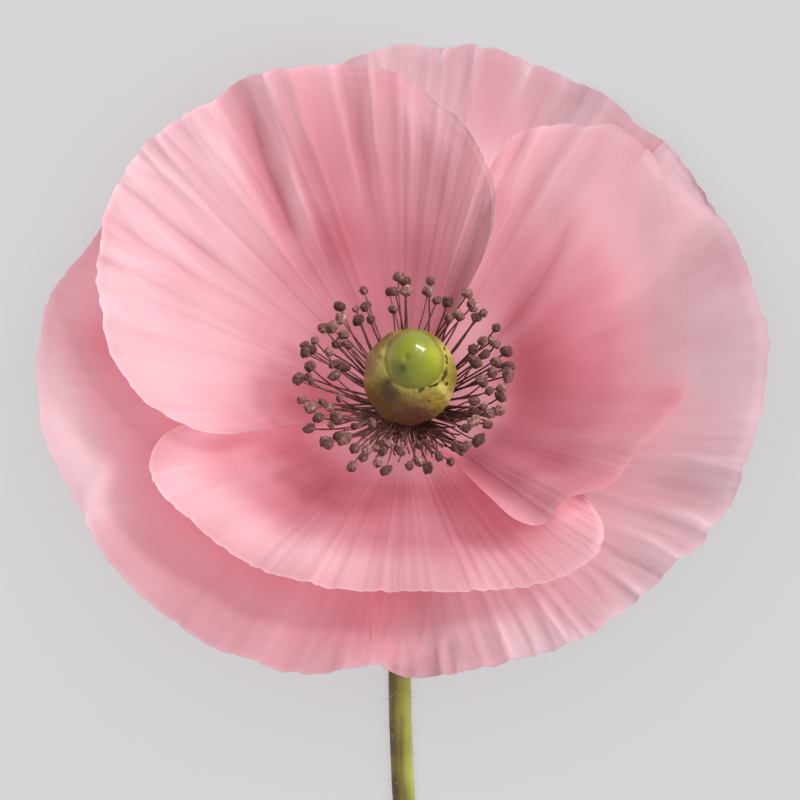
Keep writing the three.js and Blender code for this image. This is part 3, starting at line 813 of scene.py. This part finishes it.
def joined(pieces, name):
    pick(pieces)
    bpy.ops.object.join()
    whole = bpy.context.object
    whole.name = name
    return whole


def copyOf(piece):
    double = piece.copy()
    double.data = piece.data.copy()
    bpy.context.collection.objects.link(double)
    return double


def straightFilament():
    # one filament, a metre long and upright, to be bent along each path
    deselectAll()
    bpy.ops.mesh.primitive_cylinder_add(vertices=6, radius=1, depth=1, end_fill_type="NOTHING", location=(0, 0, 0.5))
    stalk = bpy.context.object
    bpy.ops.object.transform_apply(location=True, rotation=True, scale=True)
    bpy.ops.object.mode_set(mode="EDIT")
    for i in range(1, 10):
        bpy.ops.mesh.select_all(action="SELECT")
        bpy.ops.mesh.bisect(plane_co=(0, 0, i / 10), plane_no=(0, 0, 1))
    bpy.ops.object.mode_set(mode="OBJECT")
    return stalk


def pollenKnob(variant):
    # two swollen halves with a groove between them, and a powdery surface
    deselectAll()
    bpy.ops.mesh.primitive_ico_sphere_add(subdivisions=3, radius=1)
    knob = bpy.context.object
    length = (1.0, 1.12, 1.25, 1.05, 1.35)[variant]
    tones = []
    for vertex in knob.data.vertices:
        co = vertex.co.copy()
        groove = 0.12 * math.exp(-(co.y / 0.2) ** 2)
        powder = 0.20 * noise.noise(co * 1.6 + Vector((variant * 7.0, 0, 0)))
        grains = 0.16 * noise.noise(co * 4.5 + Vector((0, variant * 7.0, 0)))
        grains += 0.12 * noise.noise(co * 9 + Vector((0, 0, variant * 7.0)))
        size = 1 - groove + powder + grains
        # painted shade: darker in the groove and the hollows between grains, lighter on the grains
        tones.append(1.6 * grains - 0.8 * groove)
        vertex.co = Vector((co.x * size * length, co.y * size * 0.95, co.z * size * 0.9))
    leaveMarks(knob, "shade", tones)
    return knob


def buildStamens():
    look = stamenLook
    random.seed(look["seed"])
    stalk = straightFilament()
    knobs = [pollenKnob(variant) for variant in range(5)]
    stalks, heads = [], []
    places = [(azimuth, reach, 1.0) for azimuth, reach in knobPlaces]
    for i in range(look["extra"]):
        azimuth = random.uniform(*look["nearSide" if i % 3 else "farSide"])
        places.append((azimuth, random.uniform(*look["extraReach"]), random.uniform(*look["extraGrowth"])))
    for i in range(look["bare"]):
        places.append((random.uniform(*look["bareSide"]), random.uniform(*look["bareReach"]), look["bareGrowth"]))
    for azimuth, reach, growth in places:
        height = look["knobHeight"] + random.uniform(-0.5, 0.5) * look["heightSpread"] - (1 - growth) * 5
        turn = random.uniform(-9, 9)
        foot = polar(azimuth - turn, look["footRadius"], look["footHeight"] + random.uniform(-0.3, 0.3))
        bow = polar(
            azimuth - turn * 0.7,
            look["footRadius"] + (reach - look["footRadius"]) * random.uniform(*look["bowReach"]),
            look["footHeight"] + (height - look["footHeight"]) * random.uniform(*look["bowHeight"]),
        )
        head = polar(azimuth, reach, height)
        sway = Vector((random.uniform(-1, 1), random.uniform(-1, 1), random.uniform(-1, 1))) * 0.5
        kink = random.uniform(0.8, 1.5)

        thin = copyOf(stalk)
        tone = random.uniform(0.25, 0.62)
        tones = []
        for vertex in thin.data.vertices:
            t = vertex.co.z
            point = foot * (1 - t) ** 2 + bow * 2 * t * (1 - t) + head * t * t
            point += sway * math.sin(math.pi * t) * math.sin(kink * math.pi * t)
            along = ((bow - foot) * (1 - t) + (head - bow) * t).normalized()
            side = along.cross(Vector((0, 0, 1))).normalized()
            over = side.cross(along)
            radius = look["filamentRadius"] + (look["tipRadius"] - look["filamentRadius"]) * t
            point += (side * vertex.co.x + over * vertex.co.y) * radius
            vertex.co = fromBloom(point.x, point.y, point.z) * mm
            tones.append(tone * smoothStep(-0.15, 0.5, t) + 0.12 * t)
        leaveMarks(thin, "shade", tones)
        stalks.append(thin)

        if growth == look["bareGrowth"]:
            continue
        ball = copyOf(random.choice(knobs))
        size = look["knobRadius"] * random.uniform(0.8, 1.15) * growth
        turned = Matrix.Rotation(random.uniform(0, 6.28), 3, "Z") @ Matrix.Rotation(random.uniform(-0.7, 0.7), 3, "X")
        tone = random.uniform(0.3, 0.7)
        for vertex in ball.data.vertices:
            # each knob's own tone, with painted light: lighter towards its top
            ball.data.attributes["shade"].data[vertex.index].value += tone + 0.12 * vertex.co.z
            point = head + turned @ vertex.co * size
            vertex.co = fromBloom(point.x, point.y, point.z) * mm
        heads.append(ball)

    deselectAll()
    major, minor = look["ring"]
    bpy.ops.mesh.primitive_torus_add(major_segments=96, minor_segments=16, major_radius=major, minor_radius=minor)
    ring = bpy.context.object
    for vertex in ring.data.vertices:
        bump = 1 + 0.05 * noise.noise(vertex.co * 3)
        vertex.co = fromBloom(vertex.co.x * bump, vertex.co.y * bump, vertex.co.z * 0.7 + look["ringHeight"]) * mm
    leaveMarks(ring, "shade", [0.05] * len(ring.data.vertices))

    pick([stalk] + knobs)
    bpy.ops.object.delete()

    filaments = joined(stalks + [ring], "stamen_filaments")
    bpy.ops.object.shade_smooth()
    skin = mottled("filamentSkin", look["filament"], 420, 2520, 0.6, 0.00003, "shade")
    filaments.data.materials.append(skin.material)
    pollen = joined(heads, "stamen_knobs")
    bpy.ops.object.shade_smooth()
    powder = mottled("pollenPowder", look["knob"], 700, 3500, 1.0, 0.00016, "shade")
    powder.setValues({"Sheen Weight": 0.45, "Sheen Tint": tint(look["powderTint"])})
    pollen.data.materials.append(powder.material)
    for piece in (filaments, pollen):
        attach(piece, "root")
        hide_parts("stamens")


buildStamens()
print("stamens ready")


# seed case: the ovary and its glossy cap, which lean a little to the right of the bloom's axis

seedCase = {
    "lean": 3.3,
    "foot": 3.25,
    "body": [(0, 3.25), (1.2, 3.25), (2.1, 3.5), (2.6, 4.5), (3.5, 5.5), (4.6, 6.9), (5.3, 8.8), (5.6, 11),
             (5.55, 12.4), (5.3, 13.6), (4.8, 14.7), (4.3, 15.35), (3.8, 15.7), (2.5, 15.8), (0, 15.8)],
    "cap": [(0, 15.2), (3.2, 15.2), (3.9, 15.25), (4.08, 15.45), (3.98, 15.85), (3.6, 16.5), (2.95, 17.25),
            (2.0, 17.85), (1.0, 18.15), (0, 18.25)],
    "skin": [(0, "#c4b962"), (0.25, "#a8993a"), (0.5, "#85752b"), (0.75, "#5f4c20"), (1, "#423115")],
    "reddeningAndReflectionTint": "#9c6848",
    "tornTint": "#463a14",
    "jelly": [(0, "#4f5a08"), (0.35, "#7f8618"), (0.6, "#93990c"), (0.85, "#a7aa24"), (1, "#ccc684")],
    "dull": {"Roughness": 0.45, "Coat Weight": 0.15},
    "glossy": {
        "Roughness": 0.35, "Coat Weight": 0.8, "Coat Roughness": 0.05, "Subsurface Weight": 0.25,
        "Subsurface Radius": (0.8, 1.0, 0.25), "Subsurface Scale": 0.001,
    },
    # soft spots, seen from above, in millimetres from the bloom's heart
    # browning of the skin, with painted shade darker towards the bottom and painted light where the sides catch the
    # light
    "age": [
        (-5.0, 5.6, 1.3, -1.1), (-2.4, 3.6, 1.6, 0.04), (-3.2, 1.6, 1.5, 0.2), (-1.9, 2.0, 0.9, 0.25),
        (0, -0.8, 1.6, 0.4), (2.0, -0.4, 1.5, 0.36), (5.3, 5.0, 1.4, 0.12), (5.4, 7.6, 1.2, -0.25),
        (-2.8, 8.1, 1.2, 0.22), (3.6, 1.1, 1.2, -0.2), (0.2, 1.8, 1.0, -0.16),
    ],
    "pale": [
        (4.5, 2.6, 0.3, -0.7), (5.4, 1.75, 0.3, -0.9), (-2.6, 7.2, 0.34, -0.8), (4.0, 2.9, 0.2, -0.5),
        (-3.3, 6.6, 0.25, 0.3), (-2.2, 3.4, 0.35, 0.3),
    ],
    # reddish tan of the skin towards the bottom, and on the left edge a painted reflection of the pink petals
    "rust": [(-4.8, 5.4, 1.2, 0.75), (-3.2, 8.1, 1.0, 0.4), (-0.6, -0.8, 2.0, 0.35), (2.4, -0.6, 1.6, 0.3)],
    "torn": [
        (4.75, 4.6, 0.2, 0.5), (4.5, 4.1, 0.22, 0.4), (1.75, 2.7, 0.24, 0.6), (4.9, 3.3, 0.22, 0.7),
        (0.8, 1.6, 0.2, 0.45), (2.7, 1.2, 0.2, 0.45), (3.5, 3.15, 0.22, 0.3),
    ],
    "sun": [
        (2.6, 5.2, 1.7, 0.08), (4.1, 6.5, 0.9, 0.25), (3.0, 7.3, 0.8, 0.2), (-0.5, 5.25, 0.32, -0.35),
        (-0.5, 5.25, 0.95, -0.28), (-1.8, 6.2, 1.4, 0.3), (0.6, 8.4, 1.0, 0.3), (-0.8, 3.6, 1.1, 0.2),
        (1.4, 3.5, 1.0, 0.05), (-2.0, 7.2, 0.9, 0.35),
    ],
    # the torn seam beside the cap, seen from above
    "seam": [
        (4.62, 7.9), (4.78, 7.0), (4.92, 6.1), (4.86, 5.2), (4.6, 4.2), (4.1, 3.6), (3.4, 3.12), (2.7, 2.95),
        (2.0, 2.8), (1.6, 2.4), (1.5, 2.0),
    ],
    "seamSpots": 60,
    "lumps": [(0.16, 0.5), (0.08, 1.6), (0.03, 4)],
    "ribs": 9,
    "dimple": (-1.25, -0.75, 0.32, -0.22),   # of the cap, also a soft spot
}


def seedPoint(point):
    # lean about the ovary's foot, then to the table
    lean = math.radians(seedCase["lean"])
    up = point.z - seedCase["foot"]
    x = point.x * math.cos(lean) + up * math.sin(lean)
    height = up * math.cos(lean) - point.x * math.sin(lean) + seedCase["foot"]
    return fromBloom(x, point.y, height)


def turnedBall(name, profile, segments, rings, shape):
    # a ball whose meridians follow the profile from its foot to its top
    deselectAll()
    bpy.ops.mesh.primitive_uv_sphere_add(segments=segments, ring_count=rings, radius=1)
    ball = bpy.context.object
    ball.name = name
    line = smoothLine([(radius, 0, height) for radius, height in profile])
    for vertex in ball.data.vertices:
        share = math.acos(max(-1, min(1, -vertex.co.z))) / math.pi
        spot = line(share)
        turn = math.atan2(vertex.co.y, vertex.co.x)
        radius = max(spot.x, 0) if 0.001 < share < 0.999 else 0
        point = Vector((radius * math.cos(turn), radius * math.sin(turn), spot.z))
        vertex.co = shape(point, turn)
    ball.data.update()
    bpy.ops.object.shade_smooth()
    return ball


def stain(piece, name, spots, start=0.0):
    # soft spots seen from above
    values = []
    for vertex in piece.data.vertices:
        x, y = vertex.co.x / mm - bloomSeat["x"], vertex.co.y / mm - bloomSeat["y"]
        values.append(start + spotsAt(spots, x, y))
    leaveMarks(piece, name, values)


def tornSeam():
    # spots along a crack of uneven width
    line = smoothLine([(x, y, 0) for x, y in seedCase["seam"]])
    spots = []
    for i in range(seedCase["seamSpots"]):
        spot = line(i / (seedCase["seamSpots"] - 1))
        wide = rough(i * 0.3, 3.0, 0)
        spot.x += 0.2 * rough(i * 0.45, 0, 8.0)
        spot.y += 0.2 * rough(i * 0.45, 5.0, 8.0)
        spots.append((spot.x, spot.y, 0.125 + 0.04 * wide, 0.25 + 0.2 * wide))
    return spots


def bodyShape(point, turn):
    # faint ribs, and lumps
    rib = 0.07 * math.cos(seedCase["ribs"] * turn + 0.6) * min(1, max(0, (point.z - 5) / 4))
    lump = sum(strength * noise.noise(point * scale) for strength, scale in seedCase["lumps"])
    out = Vector((math.cos(turn), math.sin(turn), 0))
    moved = point + out * (rib + lump) * min(1, math.hypot(point.x, point.y) / 3)
    return seedPoint(moved) * mm


def capShape(point, turn):
    # off the middle, a little oval, with a small dimple
    wide = 1 + 0.03 * math.cos(2 * turn) + 0.02 * math.cos(3 * turn + 1)
    dimple = spotsAt([seedCase["dimple"]], point.x, point.y) * smoothStep(16.2, 16.8, point.z)
    lump = 0.05 * noise.noise(point * 0.6)
    x, y = point.x * wide * 0.87 + 0.22, point.y * wide * 1.02 + 0.5
    return seedPoint(Vector((x, y, point.z + dimple + lump))) * mm


def buildSeedCase():
    look = seedCase
    body = turnedBall("seed_body", look["body"], 208, 144, bodyShape)
    stain(body, "age", look["age"] + look["pale"], 0.36)
    stain(body, "torn", look["torn"] + tornSeam())
    stain(body, "rust", look["rust"])
    paint = newMaterial("ovarySkin")
    calc, swing, mark = paint.calc, paint.swing, paint.mark
    place = paint.add("TexCoord").outputs["Object"]
    patches = paint.speckle(place, 330.0, 4.0, 0.6)
    fine = paint.speckle(place, 1900.0, 3.0)
    # browning, with painted shade and painted light
    browningAndLightTone = paint.total(mark("age"), swing(patches, 0.9), swing(fine, 0.35))
    # reddish tan, and the petals' painted pink reflection on the left edge
    colour = paint.mixed(mark("rust"), paint.ramp(browningAndLightTone, look["skin"]), tint(look["reddeningAndReflectionTint"]))
    torn = calc("ADD", mark("torn"), swing(fine, 0.6))
    torn = calc("MULTIPLY", calc("SUBTRACT", torn, 0.3), 3.5)
    torn = paint.add("Clamp", {"Value": torn}).outputs[0]
    colour = paint.mixed(torn, colour, tint(look["tornTint"]))
    relief = calc("SUBTRACT", fine, calc("MULTIPLY", torn, 0.6))
    paint.dress(colour, relief, 0.7, 0.00015, look["dull"])
    body.data.materials.append(paint.material)

    cap = turnedBall("seed_cap", look["cap"], 112, 80, capShape)
    stain(cap, "sun", look["sun"], 0.3)
    paint = newMaterial("capJelly")
    place = paint.add("TexCoord").outputs["Object"]
    patches = paint.speckle(place, 240.0, 3.0)
    fine = paint.speckle(place, 1500.0, 2.0)
    lit = paint.total(paint.mark("sun"), paint.swing(patches, 0.5), paint.swing(fine, 0.2))
    paint.dress(paint.ramp(lit, look["jelly"]), fine, 0.12, 0.00006, look["glossy"])
    cap.data.materials.append(paint.material)

    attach(body, "root")
    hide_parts("ovary")
    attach(cap, "root")
    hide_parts("stigma_cap")


buildSeedCase()
print("seed case ready")


# stem: a thin hairy tube that lies on the table and bends up under the bloom

stemLook = {
    "sides": 28,
    "rings": 300,
    "cutRadius": 1.25,
    "neckRadius": 1.5,
    "flat": 0.12,
    "cutSlant": 35.0,
    "receptacleBottom": -3.2,
    # heights on the bloom's axis, and radii, of the swelling that carries the bloom
    "receptacle": [
        (-3.7, 1.55), (-3.4, 1.75), (-3.0, 2.1), (-2.5, 2.45), (-1.6, 2.6), (0, 2.6), (1.4, 2.6), (2.7, 2.6),
    ],
    "neckStraight": 1.0,
    "wander": [(2.2, -190), (4.6, -150), (3.6, -105), (0.6, -62), (-0.5, -46), (-0.8, -32)],   # of the lying stem
    "hairs": 420,
    "hairLength": (0.5, 1.2),
    "hairRadius": 0.035,
    "hairSeed": 8,
    "skin": [(0, "#3a2523"), (0.25, "#6e5a3c"), (0.5, "#8b8a40"), (0.75, "#a5a94c"), (1, "#b9bd62")],
    "hairTint": [(0.2, "#b9a48c"), (0.8, "#e6dccb")],
}


def stemPath():
    # points of the stem's middle line with its radius, from the cut end to the receptacle
    look = stemLook
    heart = Vector((0, 0, bloomSeat["rise"]))
    lying = look["neckRadius"] - look["flat"]
    bend = math.pi / 2 - bloomLean
    drop = (bloomSeat["rise"] - lying) / bloomAxis.z
    tangent = drop + look["receptacleBottom"] - look["neckStraight"]
    bendRadius = tangent / math.tan(bend / 2)
    bendStart = (heart - bloomAxis * drop).y - tangent
    line = smoothLine([(x, y, 0) for x, y in look["wander"]] + [(0, bendStart, 0)])
    path = []
    for i in range(60):
        along = i / 59
        spot = line(along)
        radius = look["cutRadius"] + (look["neckRadius"] - look["cutRadius"]) * along
        path.append((Vector((spot.x, spot.y, radius - look["flat"])), radius))
    for i in range(1, 15):
        turn = bend * i / 14
        spot = Vector((0, bendStart + bendRadius * math.sin(turn), lying + bendRadius * (1 - math.cos(turn))))
        path.append((spot, look["neckRadius"]))
    for height, radius in look["receptacle"]:
        path.append((heart + bloomAxis * height, radius))
    return path


def buildStem():
    look = stemLook
    path = stemPath()
    spots = [spot for spot, radius in path]
    middle = smoothLine(spots, 1200)
    lengths = [0.0]
    for a, b in zip(spots, spots[1:]):
        lengths.append(lengths[-1] + (b - a).length)
    radii = [(length / lengths[-1], radius) for length, (spot, radius) in zip(lengths, path)]
    shift = Vector((bloomSeat["x"], bloomSeat["y"], 0))

    def radiusAt(along):
        for (x0, r0), (x1, r1) in zip(radii, radii[1:]):
            if along <= x1:
                return r0 + (r1 - r0) * (along - x0) / (x1 - x0)
        return radii[-1][1]

    def skinPoint(along, angle, proud=0.0):
        spot = middle(along)
        step = 0.002
        direction = (middle(min(along + step, 1)) - middle(max(along - step, 0))).normalized()
        side = direction.cross(Vector((0, 0, 1))).normalized()
        over = side.cross(direction)
        radius = radiusAt(along) + proud
        out = side * math.cos(angle) + over * math.sin(angle)
        point = spot + out * radius
        slant = max(0, 1 - along * 120)
        if slant > 0:
            point += direction * slant * math.tan(math.radians(look["cutSlant"])) * -math.sin(angle) * radius
        return point, out, direction

    deselectAll()
    bpy.ops.mesh.primitive_grid_add(x_subdivisions=look["sides"], y_subdivisions=look["rings"], size=2)
    tube = bpy.context.object
    tube.name = "stem_skin"
    tones = []
    for vertex in tube.data.vertices:
        angle = -vertex.co.x * math.pi
        along = (vertex.co.y + 1) / 2
        ridge = 0.03 * math.cos(9 * angle)
        ridge += 0.05 * rough(math.cos(angle), math.sin(angle), along * 60)
        point, out, direction = skinPoint(along, angle, ridge - 0.03)
        point.z = max(point.z, 0)
        vertex.co = (point + shift) * mm
        # painted light: lighter and yellower on its right side, where the light falls; darker where it carries the
        # bloom, its own dark receptacle with painted shade under the petals
        tone = 0.48 + 0.2 * out.x - 0.09 * smoothStep(0.78, 0.85, along)
        tones.append(tone * (1 - smoothStep(0.93, 0.96, along)))
    leaveMarks(tube, "shade", tones)
    bpy.ops.object.mode_set(mode="EDIT")
    bpy.ops.mesh.select_all(action="SELECT")
    bpy.ops.mesh.remove_doubles(threshold=0.000002)
    bpy.ops.mesh.select_all(action="DESELECT")
    bpy.ops.mesh.select_non_manifold()
    bpy.ops.mesh.fill_holes(sides=0)
    bpy.ops.mesh.select_all(action="SELECT")
    bpy.ops.mesh.normals_make_consistent(inside=False)
    bpy.ops.object.mode_set(mode="OBJECT")
    bpy.ops.object.shade_smooth_by_angle(angle=math.radians(50))

    paint = newMaterial("stemSkin")
    place = paint.add("TexCoord").outputs["Object"]
    lengthwise = paint.add("Mapping", {"Vector": place, "Scale": (1, 0.06, 1)}).outputs[0]
    lines = paint.speckle(lengthwise, 1700.0, 3.0)
    patches = paint.speckle(place, 190.0, 4.0)
    shade = paint.total(paint.swing(lines, 0.6), paint.swing(patches, 0.8), paint.mark("shade"))
    paint.dress(paint.ramp(shade, look["skin"]), lines, 0.5, 0.00008, {"Roughness": 0.5})
    tube.data.materials.append(paint.material)

    # one hair, copied over the stem
    deselectAll()
    bpy.ops.mesh.primitive_cone_add(vertices=3, radius1=1, radius2=0, depth=1, location=(0, 0, 0.5))
    hair = bpy.context.object
    bpy.ops.object.transform_apply(location=True, rotation=True, scale=True)
    random.seed(look["hairSeed"])
    hairs = []
    while len(hairs) < look["hairs"]:
        along = random.uniform(0.01, 0.93)
        angle = random.uniform(-math.pi, math.pi)
        length = random.uniform(*look["hairLength"])
        root, out, direction = skinPoint(along, angle, -0.05)
        lie = (out + direction * random.uniform(-0.3, 0.5)).normalized()
        tip = root + lie * length
        if tip.z < 0.1 or root.z < 0.2:
            continue
        spike = copyOf(hair)
        turned = lie.to_track_quat("Z", "Y").to_matrix()
        for vertex in spike.data.vertices:
            co = Vector((vertex.co.x * look["hairRadius"], vertex.co.y * look["hairRadius"], vertex.co.z * length))
            vertex.co = (root + turned @ co + shift) * mm
        hairs.append(spike)
    pick([hair])
    bpy.ops.object.delete()
    fuzz = joined(hairs, "stem_hairs")
    fuzz.data.materials.append(mottled("hairTint", look["hairTint"], 900, 8100, 0.6, 0.00001).material)

    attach(tube, "root")
    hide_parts("stem")
    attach(fuzz, "root")


buildStem()
print("stem ready")
